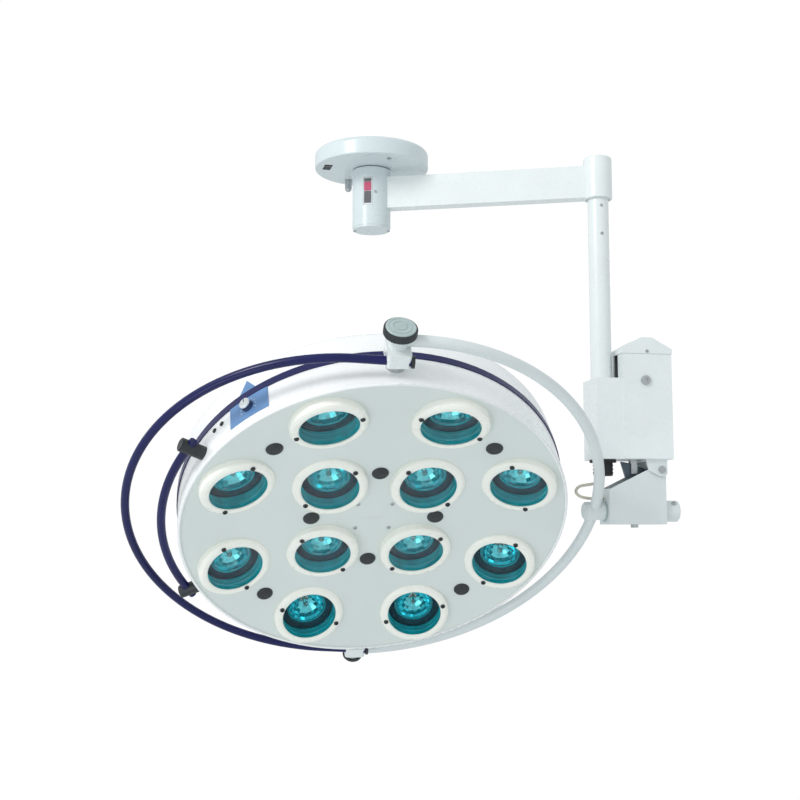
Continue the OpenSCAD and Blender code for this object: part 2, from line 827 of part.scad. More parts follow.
// Half circle of tube in the head's xy plane, with an eye round the pivot stud at each end.
// A thin welding sleeve covers each joint between tube and eye.
module yoke_ring() {
    sleeve_r = yoke_tube_r + 0.3;
    arc_gap = 0.15;
    color("silver") difference() {
        head_frame() {
            translate([yoke_c, 0, 0]) rotate([0, 0, arc_gap - 90])
                rotate_extrude(angle = 180 - 2 * arc_gap)
                    translate([yoke_r, 0]) circle(yoke_tube_r);
            for (y = [-yoke_r, yoke_r]) {
                translate([0, y, 0]) x_rod(yoke_tube_r, 4, yoke_c);
                translate([0, y, 0]) x_rod(sleeve_r, yoke_c - 5, yoke_c + 5);
                translate([0, y, 0]) y_rod(eye_r, block_out - yoke_r, eye_out - yoke_r);
            }
        }
        shaft_frame() x_rod(knuckle_r, knuckle_x0 + 3, knuckle_x1);
        head_frame() y_rod(stud_r + 0.4, -eye_out - 1, eye_out + 1);
    }
}

module pivot_blocks() {
    mid_z = (block_z0 + block_z1) / 2;
    color("white") difference() {
        head_frame() for (y = [-block_out, block_in])
            translate([0, y + block_out - block_in, mid_z]) rotate([90, 0, 0])
                linear_extrude(height = block_out - block_in)
                    rounded_rect(block_w, block_z1 - block_z0, block_round);
        head_frame() y_rod(pivot_bush_r, -block_out - 1, block_out + 1);
        rail_frame() for (y = [-rail_y, rail_y]) translate([0, y, 0])
            x_rod(rail_tube_r, -block_w, block_w);
    }
}

module pivot_bushes() {
    color("peru") head_frame() for (side = [0, 1]) mirror([0, side, 0]) difference() {
        union() {
            y_rod(pivot_bush_r, block_in - 2, block_out);
            y_rod(14, block_in - 3.8, block_in);
        }
        y_rod(stud_r + fit, block_in - 10, block_out + 1);
    }
}

module handle_rail() {
    color("midnightblue") rail_frame() {
        translate([rail_c, 0, 0]) rotate([0, 0, 90]) rotate_extrude(angle = 180)
            translate([rail_r, 0]) circle(rail_tube_r);
        for (y = [-rail_y, rail_y]) translate([0, y, 0]) x_rod(rail_tube_r, rail_c, block_w / 2 + 1);
    }
}

module end_caps() {
    color("black") {
        rail_frame() for (y = [-rail_y, rail_y]) translate([0, y, 0])
            x_rod(10.5, block_w / 2 + 1, block_w / 2 + 6);
        head_frame() y_rod(20, eye_out, eye_out + 6);
    }
}

module lock_knob() {
    color("dimgray") head_frame() mirror([0, 1, 0]) difference() {
        union() {
            y_rod(15, knob_in, knob_in + 2);
            y_rod(knob_r, knob_in + 1.8, knob_out - 2);
            y_rod(knob_r - 2, knob_out - 3, knob_out);
        }
        y_rod(stud_r + fit, block_out, knob_in + 11);
        for (r = [20, 12]) rotate([-90, 0, 0]) ring(r, r - 3, knob_out - 0.8, knob_out + 1);
    }
}

// ---------------------------------------------------------------- head

module face_plate() {
    color("lightgray") head_frame() difference() {
        rotate_extrude() intersection() {
            translate([0, dish_c]) difference() {
                circle(dish_r + shell_t, $fn = 1440);
                circle(dish_r, $fn = 1440);
            }
            translate([0, rim_z - 5]) square([face_r + 2, dish_depth + 20]);
        }
        at_lamps() translate([0, 0, -14]) cylinder(r = lamp_hole_r, h = 32);
        at_plugs() translate([0, 0, -10]) cylinder(r = 12, h = 20);
        at_centre_screws() translate([0, 0, -5]) cylinder(r = 2, h = 10, $fn = 24);
    }
}

// The wall in front of the seam, with a rolled bead round the rim
module front_shell() {
    color("white") head_frame() difference() {
        union() {
            translate([0, 0, rim_z]) cylinder(r = head_r, h = seam_z - rim_z);
            rotate_extrude() translate([head_r - bead_r, rim_z]) circle(bead_r);
        }
        translate([0, 0, rim_z - 10]) cylinder(r = face_r, h = 12);
        translate([0, 0, rim_z + lip_t]) cylinder(r = head_r - shell_t, h = seam_z - rim_z);
        y_rod(stud_r + 0.5, -head_r - 10, head_r + 10);
        wall_at(panel_a) x_rod(4, -10, 10);
    }
}

module rear_cover() {
    color("white") head_frame() difference() {
        slab(head_r, seam_z, back_z, 0, back_round);
        slab(head_r - shell_t, seam_z - 1, back_z - shell_t, 0, back_round - shell_t);
        for (k = [0:11], i = [0:2]) rotate([0, 0, 30 * k])
            translate([200 + 18 * i, 0, back_z - 10]) {
                translate([-3, -22, 0]) cube([6, 44, 20]);
                for (y = [-22, 22]) translate([0, y, 0]) cylinder(r = 3, h = 20, $fn = 24);
            }
    }
}

module trim_band() {
    color("midnightblue") head_frame()
        ring(head_r + band_t, head_r, seam_z - band_h / 2, seam_z + band_h / 2);
}

// Cross of two bars behind the lamps, with the pivot studs on the ends of one of them
module cross_frame() {
    bar_z0 = 10;
    bar_z1 = 30;
    bar_end = head_r - shell_t - 1;
    color("gray") head_frame() difference() {
        union() {
            block([-15, -bar_end, bar_z0], [15, bar_end, bar_z1]);
            block([-bar_end, -15, bar_z0], [bar_end, 15, bar_z1]);
            translate([0, 0, bar_z0]) cylinder(r = 40, h = bar_z1 - bar_z0);
            for (side = [0, 1]) mirror([0, side, 0]) {
                block([-15, bar_end - 22, -14], [15, bar_end, bar_z0 + 1]);
                y_rod(stud_r, bar_end - 1, eye_out - 3);
                y_rod(16, head_r, block_in - 4.2);
            }
            mirror([0, 1, 0]) y_rod(stud_r, block_out, knob_in + 8);
        }
        block([-11, -bar_end + 24, bar_z0 + 4], [11, bar_end - 24, bar_z1 + 1]);
        block([-bar_end + 24, -11, bar_z0 + 4], [bar_end - 24, 11, bar_z1 + 1]);
    }
}

// Everything behind the dished face, as far as a lamp ring's skirt can reach
module behind_dish() {
    rotate_extrude() intersection() {
        translate([0, dish_c]) difference() {
            circle(dish_r + 40, $fn = 1440);
            circle(dish_r - 0.05, $fn = 1440);
        }
        translate([0, rim_z - 15]) square([head_r - 4, 90]);
    }
}

// Trim rings round the lamp glasses; each skirt ends on the dish and a spigot fills the hole
module lamp_bezels() {
    color("ivory") head_frame() {
        difference() {
            at_lamps() rotate_extrude()
                polygon([[glass_r, 14], [bezel_r, 14], [bezel_r, -3], [bezel_r - 0.8, -5.2],
                    [bezel_r - 2.6, -7.4], [bezel_r - 5.2, -9.2], [bezel_r - 8.5, -bezel_h],
                    [52.2, -bezel_h], [51, -10.2], [51, glass_z], [glass_r, glass_z]]);
            behind_dish();
        }
        at_lamps() ring(lamp_hole_r - 0.2, glass_r, -9.4, 12);
    }
}

module filter_glasses() {
    color("teal", 0.6) head_frame() at_lamps() translate([0, 0, glass_z])
        cylinder(r = glass_r - 0.1, h = glass_t);
}

// Sheet cup behind each glass, with the reflector's mouth in its floor
module lamp_cups() {
    z0 = glass_z + glass_t;
    color("lightgray") head_frame() at_lamps() difference() {
        translate([0, 0, z0]) cylinder(r = cup_out_r, h = cup_depth - z0);
        translate([0, 0, z0 - eps]) cylinder(r = cup_in_r, h = cup_depth - z0 - 1.5 + eps);
        translate([0, 0, z0]) cylinder(r = cup_hole_r, h = cup_depth);
    }
}

module reflectors() {
    color("silver") head_frame() at_lamps() difference() {
        union() {
            translate([0, 0, cup_depth]) cylinder(r = 42, h = 1.2);
            intersection() {
                translate([0, 0, reflector_z]) sphere(reflector_in_r + reflector_t);
                translate([0, 0, cup_depth]) cylinder(r = 60, h = 60);
            }
        }
        translate([0, 0, reflector_z]) sphere(reflector_in_r);
        translate([0, 0, cup_depth + 15]) cylinder(r = reflector_hole_r, h = 30);
    }
}

module bulbs() {
    color("white", 0.8) head_frame() at_lamps() {
        translate([0, 0, 29]) cylinder(r = 5.5, h = 23);
        translate([0, 0, 29]) sphere(5.5);
    }
}

module lamp_sockets() {
    color("ivory") head_frame() at_lamps() difference() {
        translate([0, 0, 49.5]) cylinder(r = 12, h = 20);
        translate([0, 0, 49]) cylinder(r = 5.5, h = 3);
    }
}

// Two screws on each lamp ring, and four in the middle of the face
module face_screws() {
    color("black") head_frame() {
        at_lamps() for (y = [-bezel_screw_r, bezel_screw_r]) translate([0, y, -bezel_h - 2.5]) {
            cylinder(r = 4.5, h = 2.5);
            translate([0, 0, -0.8]) cylinder(r = 3.6, h = 1);
        }
        at_centre_screws() {
            translate([0, 0, -1.6]) cylinder(r = 4, h = 1.59);
            translate([0, 0, -0.5]) cylinder(r = 2, h = 5);
        }
    }
}

// Plastic plugs that close the spare holes in the lamp face and in the wall
module hole_plugs() {
    color("black") head_frame() {
        at_plugs() {
            translate([0, 0, -4]) cylinder(r = plug_r - 1.5, h = 2);
            translate([0, 0, -2.9]) cylinder(r = plug_r, h = 2.83);
            translate([0, 0, -1]) cylinder(r = 11.8, h = 6);
        }
        for (a = dot_angles) wall_at(a) difference() {
            translate([0, 0, dot_z]) x_rod(dot_r, -5, 3);
            translate([-head_r, 0, -20]) cylinder(r = head_r, h = 40);
        }
    }
}

module side_grip() {
    color("midnightblue") head_frame() translate([0, 0, grip_z])
        rotate([0, 0, 180 - grip_half_a]) rotate_extrude(angle = 2 * grip_half_a)
            translate([grip_r, 0]) circle(rail_tube_r);
}

module grip_posts() {
    color("black") head_frame() difference() {
        for (a = [180 - post_half_a, 180 + post_half_a]) rotate([0, 0, a])
            translate([0, 0, grip_z]) {
                x_rod(post_r, head_r - 12, post_out - 1);
                x_rod(post_r - 1.5, post_out - 2, post_out);
            }
        translate([0, 0, -100]) cylinder(r = head_r, h = 200);
        translate([0, 0, grip_z]) rotate([0, 0, 180 - grip_half_a])
            rotate_extrude(angle = 2 * grip_half_a) translate([grip_r, 0]) circle(rail_tube_r);
    }
}

// Panel on the wall: a rectangle below the trim band and a point above it
module control_panel() {
    half = panel_w / 2;
    tip = panel_tip_half;
    tip_z0 = seam_z + band_h / 2 + 0.2;
    color("cornflowerblue") head_frame() {
        difference() {
            intersection() {
                ring(head_r + panel_t, head_r, panel_low_z, panel_top_z);
                rotate([0, 0, panel_a]) translate([head_r - 60, -half, panel_low_z - 5])
                    cube([80, panel_w, 60]);
            }
            wall_at(panel_a) x_rod(4, -10, 10);
        }
        intersection() {
            ring(head_r + panel_t, head_r, tip_z0, panel_tip_z + 5);
            rotate([0, 0, panel_a - 90]) y_plate([[-tip, tip_z0 - 1], [tip, tip_z0 - 1],
                [0, panel_tip_z]], head_r - 40, head_r + 5);
        }
    }
}

module dimmer_knob() {
    color("white") head_frame() wall_at(panel_a) {
        x_rod(dimmer_r + 1, panel_t + 0.5, 5);
        x_rod(dimmer_r, 4.5, dimmer_h);
        x_rod(3.92, -6, panel_t + 1);
        translate([dimmer_h - 0.2, -1, 0]) cube([0.8, 2, dimmer_r - 1]);
    }
}

// ---------------------------------------------------------------- nodes

mounting_flange();
spindle();
canopy_cover();
canopy_screws();
terminal_block();
retaining_nut();
stop_pin();
switch_body();
switch_paddle();
stem_sleeve();
stem_bearings();
stem_cap();
stem_screws();
stem_window();
arm_beam();
arm_collar();
collar_cap();
drop_bushes();
drop_tube();
core_casting();
balance_housing();
front_cover();
roof_cap();
box_screws();
cable_gland();
hinge_bracket();
hinge_pin();
balance_spring();
spring_rod();
loop_cable();
swing_channel();
crank_lever();
shaft_bushes();
brake_hub();
swing_screws();
yoke_shaft();
yoke_knuckle();
yoke_ring();
pivot_blocks();
pivot_bushes();
handle_rail();
end_caps();
lock_knob();
face_plate();
front_shell();
rear_cover();
trim_band();
cross_frame();
lamp_bezels();
filter_glasses();
lamp_cups();
reflectors();
bulbs();
lamp_sockets();
face_screws();
hole_plugs();
side_grip();
grip_posts();
control_panel();
dimmer_knob();
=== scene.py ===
"""Looks of the ceiling-mounted operating light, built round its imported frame. Metres, +Z up."""

import json
import math

import bmesh
import bpy
from mathutils import Matrix, Vector


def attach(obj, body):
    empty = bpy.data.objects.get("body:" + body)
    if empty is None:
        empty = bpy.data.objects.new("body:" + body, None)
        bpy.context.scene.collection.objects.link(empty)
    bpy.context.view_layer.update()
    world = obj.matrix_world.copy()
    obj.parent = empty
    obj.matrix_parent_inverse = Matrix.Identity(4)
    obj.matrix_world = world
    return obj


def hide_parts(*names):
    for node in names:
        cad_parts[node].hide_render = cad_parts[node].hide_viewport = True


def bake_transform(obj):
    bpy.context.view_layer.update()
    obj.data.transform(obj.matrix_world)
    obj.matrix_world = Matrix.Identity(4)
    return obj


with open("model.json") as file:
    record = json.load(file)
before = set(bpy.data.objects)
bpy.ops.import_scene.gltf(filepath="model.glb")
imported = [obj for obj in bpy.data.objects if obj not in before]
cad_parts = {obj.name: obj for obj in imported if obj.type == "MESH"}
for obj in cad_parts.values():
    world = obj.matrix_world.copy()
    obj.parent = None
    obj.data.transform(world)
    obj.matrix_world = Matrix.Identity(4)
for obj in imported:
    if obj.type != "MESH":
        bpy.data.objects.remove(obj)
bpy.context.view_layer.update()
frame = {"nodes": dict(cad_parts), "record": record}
nodes = frame["nodes"]
scene = bpy.context.scene
MM = 0.001

# ------------------------------------------------------------------ frames of the assembly


def turn(axis, degrees):
    return Matrix.Rotation(math.radians(degrees), 4, axis)


def shift(x, y, z):
    return Matrix.Translation(Vector((x, y, z)) * MM)


DROP = shift(448, 0, 0) @ turn("Z", 20.4)
SHAFT = DROP @ shift(0, 0, -720)
HEAD = SHAFT @ turn("Y", -0.8) @ shift(-438, 0, 0) @ turn("X", -41.7)
HEAD_R = 350
RIM_Z = -40
DISH_DEPTH = 34.5
DISH_R = (HEAD_R ** 2 + DISH_DEPTH ** 2) / (2 * DISH_DEPTH)
DISH_C = RIM_Z + DISH_DEPTH - DISH_R
LAMP_RISE = 2.5
OUTER_RING, OUTER_AIM = 270, 6.5
INNER_RING, INNER_AIM = 123, -5


def on_face(radius, angle):
    """Frame of a place on the dished face, its z going into the head."""
    tip = math.degrees(math.asin(radius / DISH_R))
    return HEAD @ shift(0, 0, DISH_C) @ turn("Z", angle) @ turn("Y", tip) @ shift(0, 0, DISH_R)


def on_wall(angle):
    """Frame of a place on the head's side wall, its x going outward."""
    return HEAD @ turn("Z", angle) @ shift(HEAD_R, 0, 0)




def lamp_frame(ring, angle, aim):
    """Frame of one lamp: aimed inward of the dish's normal, and a little proud of the face."""
    return on_face(ring, angle) @ turn("Y", aim) @ shift(0, 0, -LAMP_RISE)


LAMPS = ([lamp_frame(OUTER_RING, 22.5 + 45 * k, OUTER_AIM) for k in range(8)]
         + [lamp_frame(INNER_RING, 45 + 90 * k, INNER_AIM) for k in range(4)])

# ------------------------------------------------------------------ camera

camera = bpy.data.objects.new("camera", bpy.data.cameras.new("camera"))
scene.collection.objects.link(camera)
camera.location = (0.492, -2.296, -0.768)
camera.rotation_euler = (math.radians(90 + 6.5), 0, math.radians(10.7))
camera.data.lens = 54
camera.data.sensor_width = 36
camera.data.clip_end = 50
scene.camera = camera

# ------------------------------------------------------------------ materials


def new_material(name):
    m = bpy.data.materials.new(name)
    m.use_nodes = True
    m.node_tree.nodes.clear()
    tree = m.node_tree
    out = tree.nodes.new("ShaderNodeOutputMaterial")
    bsdf = tree.nodes.new("ShaderNodeBsdfPrincipled")
    tree.links.new(bsdf.outputs[0], out.inputs[0])
    return m, tree, bsdf


def srgb(r, g, b):
    def lin(c):
        c /= 255
        return c / 12.92 if c <= 0.04045 else ((c + 0.055) / 1.055) ** 2.4
    return (lin(r), lin(g), lin(b), 1)


def noise(tree, coords, scale, detail=3, stretch=None):
    node = tree.nodes.new("ShaderNodeTexNoise")
    node.inputs["Scale"].default_value = scale
    node.inputs["Detail"].default_value = detail
    if stretch:
        mapping = tree.nodes.new("ShaderNodeMapping")
        mapping.inputs["Scale"].default_value = stretch
        tree.links.new(coords, mapping.inputs[0])
        coords = mapping.outputs[0]
    tree.links.new(coords, node.inputs["Vector"])
    return node.outputs["Fac"]


def spread(tree, value, low, high):
    node = tree.nodes.new("ShaderNodeMapRange")
    node.inputs["From Min"].default_value = 0.3
    node.inputs["From Max"].default_value = 0.7
    node.inputs["To Min"].default_value = low
    node.inputs["To Max"].default_value = high
    tree.links.new(value, node.inputs["Value"])
    return node.outputs[0]


def finish(name, color, rough, metal=0.0, coat=0.0, shade=0.05, grain=420, bump=0.12,
           depth=0.00012, rough_var=0.08, stretch=None, round_edges=0.0, ior=1.5, tone=14):
    """A surface with slow tone changes, uneven gloss and a fine grain."""
    m, tree, bsdf = new_material(name)
    coords = tree.nodes.new("ShaderNodeTexCoord").outputs["Object"]
    slow = noise(tree, coords, tone, 4, stretch)
    mix = tree.nodes.new("ShaderNodeMix")
    mix.data_type = "RGBA"
    tree.links.new(spread(tree, slow, 0, 1), mix.inputs["Factor"])
    mix.inputs["A"].default_value = [c * (1 - shade) for c in color[:3]] + [1]
    mix.inputs["B"].default_value = [min(1, c * (1 + shade * 0.4)) for c in color[:3]] + [1]
    tree.links.new(mix.outputs["Result"], bsdf.inputs["Base Color"])
    gloss = noise(tree, coords, tone * 3.3, 5, stretch)
    tree.links.new(spread(tree, gloss, max(0.02, rough - rough_var), rough + rough_var),
                   bsdf.inputs["Roughness"])
    fine = noise(tree, coords, grain, 2, stretch)
    node = tree.nodes.new("ShaderNodeBump")
    node.inputs["Strength"].default_value = bump
    node.inputs["Distance"].default_value = depth
    tree.links.new(fine, node.inputs["Height"])
    if round_edges:
        bevel = tree.nodes.new("ShaderNodeBevel")
        bevel.samples = 4
        bevel.inputs["Radius"].default_value = round_edges
        tree.links.new(bevel.outputs[0], node.inputs["Normal"])
    tree.links.new(node.outputs[0], bsdf.inputs["Normal"])
    bsdf.inputs["Metallic"].default_value = metal
    bsdf.inputs["IOR"].default_value = ior
    bsdf.inputs["Coat Weight"].default_value = coat
    bsdf.inputs["Coat Roughness"].default_value = 0.12
    return m


def glass(name, color, rough, ior=1.46, alpha=1.0):
    m, tree, bsdf = new_material(name)
    coords = tree.nodes.new("ShaderNodeTexCoord").outputs["Object"]
    mix = tree.nodes.new("ShaderNodeMix")
    mix.data_type = "RGBA"
    tree.links.new(spread(tree, noise(tree, coords, 22, 3), 0, 1), mix.inputs["Factor"])
    mix.inputs["A"].default_value = [c * 0.93 for c in color[:3]] + [1]
    mix.inputs["B"].default_value = color
    tree.links.new(mix.outputs["Result"], bsdf.inputs["Base Color"])
    tree.links.new(spread(tree, noise(tree, coords, 60, 3), rough, rough + 0.03),
                   bsdf.inputs["Roughness"])
    bsdf.inputs["Transmission Weight"].default_value = 1.0
    bsdf.inputs["IOR"].default_value = ior
    bsdf.inputs["Alpha"].default_value = alpha
    return m


MATS = {
    "white_enamel": finish("white_enamel", srgb(238, 244, 244), 0.3, coat=0.25, shade=0.03),
    "grey_enamel": finish("grey_enamel", srgb(226, 233, 234), 0.34, coat=0.25, shade=0.05),
    "face_enamel": finish("face_enamel", srgb(226, 234, 231), 0.42, coat=0.1, shade=0.03, tone=7),
    "navy_enamel": finish("navy_enamel", srgb(12, 18, 84), 0.34, coat=0.12, shade=0.18, ior=1.4),
    "bare_steel": finish("bare_steel", srgb(196, 199, 201), 0.28, metal=1, shade=0.15, grain=700),
    "zinc_steel": finish("zinc_steel", srgb(196, 200, 202), 0.36, metal=1, shade=0.18, tone=60),
    "spring_steel": finish("spring_steel", srgb(92, 94, 98), 0.35, metal=1, shade=0.2),
    "cast_aluminium": finish("cast_aluminium", srgb(186, 190, 192), 0.5, metal=0.9, shade=0.12,
                             grain=260, bump=0.5, depth=0.0004),
    "dark_steel": finish("dark_steel", srgb(96, 108, 118), 0.42, metal=0.6, shade=0.25,
                         round_edges=0.0008),
    "bronze": finish("bronze", srgb(160, 118, 70), 0.45, metal=0.9, shade=0.2, grain=900),
    "black_plastic": finish("black_plastic", srgb(44, 49, 52), 0.42, shade=0.12, grain=1200,
                            bump=0.3),
    "white_plastic": finish("white_plastic", srgb(240, 245, 245), 0.3, shade=0.04),
    "ivory_plastic": finish("ivory_plastic", srgb(255, 255, 246), 0.3, coat=0.3, shade=0.02),
    "blue_label": finish("blue_label", srgb(104, 146, 196), 0.35, shade=0.08, tone=40),
    "window_frame": finish("window_frame", srgb(236, 240, 241), 0.3, shade=0.05),
    "teal_glass": glass("teal_glass", srgb(20, 180, 196), 0.01, alpha=0.07),
    "bulb_glass": glass("bulb_glass", srgb(236, 252, 255), 0.05, alpha=0.75),
    "reflector_mirror": finish("reflector_mirror", srgb(118, 234, 246), 0.12, metal=1, shade=0.3,
                               rough_var=0.05, tone=110),
    "cup_paint": finish("cup_paint", srgb(0, 176, 188), 0.4, shade=0.3, tone=50, ior=1.3),
    "ceramic": finish("ceramic", srgb(238, 234, 222), 0.25, shade=0.05, tone=40),
    "cable_sheath": finish("cable_sheath", srgb(226, 222, 204), 0.42, shade=0.06, tone=40),
    "gland_rubber": finish("gland_rubber", srgb(38, 40, 43), 0.62, shade=0.15, grain=1500,
                           bump=0.4),
}
# Lit and shaded copies of the white enamel: a darker white as painted shade on the canopy and stem, a
# brighter white as painted light on the head's shell.
CANOPY_SHADED_WHITE = finish("canopy_shaded_white", srgb(218, 229, 231), 0.32, coat=0.2, shade=0.04)
SHELL_LIT_WHITE = finish("shell_lit_white", srgb(253, 255, 255), 0.28, coat=0.4, shade=0.02)
KNOB_GREY = finish("knob_grey", srgb(178, 194, 194), 0.4, coat=0.15, shade=0.1, tone=60)
# Dark blue used twice: as painted shadow on the dimmer's skirt, and as the colour of the pointer line
# printed on its cap.
DIMMER_SHADE_AND_MARK_BLUE = finish("dimmer_shade_and_mark_blue", srgb(24, 48, 92), 0.32, coat=0.3, shade=0.15, tone=60)
RED_TAG = finish("red_tag", srgb(196, 70, 108), 0.3, coat=0.3, shade=0.12, tone=60)
DARK_TAG = finish("dark_tag", srgb(92, 92, 98), 0.3, coat=0.3, shade=0.15, tone=60)
TICK_WHITE = finish("tick_white", srgb(244, 247, 248), 0.35, shade=0.04, tone=60)
CUP_SHADE = finish("cup_shade", srgb(0, 52, 68), 0.5, shade=0.3, tone=60, ior=1.3)
TUNGSTEN = finish("tungsten", srgb(150, 150, 156), 0.35, metal=1, shade=0.1, tone=90)

for entry in frame["record"]["subparts"]:
    node = nodes[entry["node"]]
    node.data.materials.clear()
    node.data.materials.append(MATS[entry["material_slot"]])
# The canopy, stem and cap get the white with painted shade; the front shell and rear cover get the white
# with painted light.
for name, paint in (("canopy_cover", CANOPY_SHADED_WHITE), ("stem_sleeve", CANOPY_SHADED_WHITE),
                    ("stem_cap", CANOPY_SHADED_WHITE), ("front_shell", SHELL_LIT_WHITE),
                    ("rear_cover", SHELL_LIT_WHITE), ("shaft_bushes", KNOB_GREY)):
    nodes[name].data.materials[0] = paint

# ------------------------------------------------------------------ mesh helpers


def lathe(bm, profile, place, segments=64, sweep=None):
    """A body of revolution about z from (radius, height) pairs in mm."""
    rings = []
    for radius, z in profile:
        if radius < 1e-6:
            rings.append([bm.verts.new(place @ Vector((0, 0, z * MM)))])
            continue
        ring = []
        for k in range(segments):
            a = 2 * math.pi * k / segments
            r = radius if sweep is None else sweep(radius, k)
            ring.append(bm.verts.new(place @ Vector((r * MM * math.cos(a), r * MM * math.sin(a), z * MM))))
        rings.append(ring)
    for lower, upper in zip(rings, rings[1:]):
        for k in range(segments):
            n = (k + 1) % segments
            if len(lower) == 1:
                bm.faces.new((lower[0], upper[n], upper[k]))
            elif len(upper) == 1:
                bm.faces.new((lower[k], lower[n], upper[0]))
            else:
                bm.faces.new((lower[k], lower[n], upper[n], upper[k]))
    return rings


def prism(bm, points, z0, z1, place):
    """An upright solid over a flat outline in mm."""
    low = [bm.verts.new(place @ (Vector((x, y, z0)) * MM)) for x, y in points]
    high = [bm.verts.new(place @ (Vector((x, y, z1)) * MM)) for x, y in points]
    bm.faces.new(low[::-1])
    bm.faces.new(high)
    for k in range(len(points)):
        n = (k + 1) % len(points)
        bm.faces.new((low[k], low[n], high[n], high[k]))


def brick(bm, low, high, place):
    (x0, y0, z0), (x1, y1, z1) = low, high
    prism(bm, [(x0, y0), (x1, y0), (x1, y1), (x0, y1)], z0, z1, place)


def arc(cx, cz, r, a0, a1, n=7):
    """Points of a profile along a quarter turn or so, angles in degrees."""
    steps = [math.radians(a0 + (a1 - a0) * k / (n - 1)) for k in range(n)]
    return [(cx + r * math.cos(a), cz + r * math.sin(a)) for a in steps]


def tube(bm, path, radius, sides=16):
    """A round tube along a smooth open path in metres, with flat ends."""
    normal = None
    rings = []
    for i, p in enumerate(path):
        ahead = (path[min(i + 1, len(path) - 1)] - path[max(i - 1, 0)]).normalized()
        if normal is None:
            normal = ahead.cross(Vector((0, 1, 0.01))).normalized()
        normal = (normal - ahead * normal.dot(ahead)).normalized()
        side = ahead.cross(normal)
        rings.append([bm.verts.new(p + radius * (math.cos(a) * normal + math.sin(a) * side))
                      for a in (2 * math.pi * k / sides for k in range(sides))])
    for lower, upper in zip(rings, rings[1:]):
        for k in range(sides):
            n = (k + 1) % sides
            bm.faces.new((lower[k], lower[n], upper[n], upper[k]))
    bm.faces.new(rings[0][::-1])
    bm.faces.new(rings[-1])


def smooth_path(points, steps=6):
    """Catmull-Rom curve through the points."""
    out = []
    for i in range(len(points) - 1):
        a, b = points[max(i - 1, 0)], points[i]
        c, d = points[i + 1], points[min(i + 2, len(points) - 1)]
        for k in range(steps):
            t = k / steps
            out.append(0.5 * (2 * b + (c - a) * t + (2 * a - 5 * b + 4 * c - d) * t * t
                              + (3 * b - a - 3 * c + d) * t ** 3))
    return out + [points[-1]]


def piece(name, bm, material, body, replaces=(), sharp=38, flat=False):
    """Turns a bmesh into a named piece that rides on a body."""
    bmesh.ops.recalc_face_normals(bm, faces=bm.faces)
    for face in bm.faces:
        face.smooth = not flat
    for edge in bm.edges:
        if len(edge.link_faces) == 2 and edge.calc_face_angle(0) > math.radians(sharp):
            edge.smooth = False
    obj = bpy.data.objects.new(name, bpy.data.meshes.new(name))
    scene.collection.objects.link(obj)
    bm.to_mesh(obj.data)
    bm.free()
    obj.data.materials.append(material)
    if body:
        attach(obj, body)
    if replaces:
        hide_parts(*replaces)
    return obj


# ------------------------------------------------------------------ cable loop

ROUTE = [(0, 3, -650), (-1, 3, -658), (-8, 4, -665), (-19, 5, -669), (-31, 6, -671),
         (-42, 6, -673), (-49, 6, -677), (-52, 6, -683), (-49.5, 6, -688.5), (-43, 6, -693),
         (-33, 6, -695.5), (-21, 6, -696.5), (-9, 6, -696.5), (0, 6, -696.5), (8, 6, -696.5)]
route = smooth_path([DROP @ (Vector(p) * MM) for p in ROUTE])
bm = bmesh.new()
tube(bm, route, 2.8 * MM)
cable = piece("cable_loop", bm, MATS["cable_sheath"], None, ["loop_cable"])
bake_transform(cable)

# ------------------------------------------------------------------ lamps

bm = bmesh.new()
for lamp in LAMPS:
    profile = [(53.4, 11.9), (55.7, 11.9), (55.7, 10.5), (66.4, 10.5), (66.4, -5)]
    profile += arc(63.2, -5.0, 3.2, 0, -60, 6) + arc(58.5, -5.4, 5.2, -55, -90, 5)
    profile += arc(54.2, -8.6, 2.0, -90, -175, 6) + [(51.3, -9.4), (53.4, -9.2), (53.4, 11.9)]
    lathe(bm, profile, lamp, 96)
bmesh.ops.remove_doubles(bm, verts=bm.verts, dist=1e-6)
piece("bezel_rings", bm, MATS["ivory_plastic"], "head", ["lamp_bezels"], 50)

# mirrors: a dome of flat facets in a smooth shell, with a folded rim
bm = bmesh.new()
for lamp in LAMPS:
    lathe(bm, [(36 * math.cos(math.radians(lift)), 11.5 + 36 * math.sin(math.radians(lift)))
               for lift in (18.6, 30, 42, 54, 66, 77)], lamp, 18)
piece("mirror_domes", bm, MATS["reflector_mirror"], "head",
      ["reflectors"], flat=True)
bm = bmesh.new()
for lamp in LAMPS:
    lathe(bm, [(34.3, 23.2), (42, 23.2), (42, 24.2), (35.6, 24.2), (33.5, 28.6), (29.2, 35),
               (23, 41), (16, 45.4), (8.4, 48.1), (8.2, 46.9), (8.4, 46.6)], lamp, 60)
piece("mirror_backs", bm, MATS["bare_steel"], "head")

bm = bmesh.new()
for lamp in LAMPS:
    lathe(bm, [(0, 22.6), (0.8, 22.9), (1.3, 23.9)] + arc(0, 29.2, 5.2, -75, 0, 7)
          + [(5.4, 30), (5.4, 44), (4.6, 47), (3.2, 49.6), (0, 50)], lamp, 32)
piece("bulb_capsules", bm, MATS["bulb_glass"], "head", ["bulbs"], 60)
bm = bmesh.new()
for lamp in LAMPS:
    for side in (-1, 1):
        lathe(bm, [(0, 32), (0.45, 32), (0.45, 50.5), (0, 50.5)], lamp @ shift(2 * side, 0, 0), 10)
    coil = [lamp @ (Vector((-2.2 + 4.4 * k / 120, 1.1 * math.cos(k * 0.52),
                            32 + 1.1 * math.sin(k * 0.52))) * MM) for k in range(121)]
    tube(bm, coil, 0.22 * MM, 6)
piece("filaments", bm, TUNGSTEN, "head")

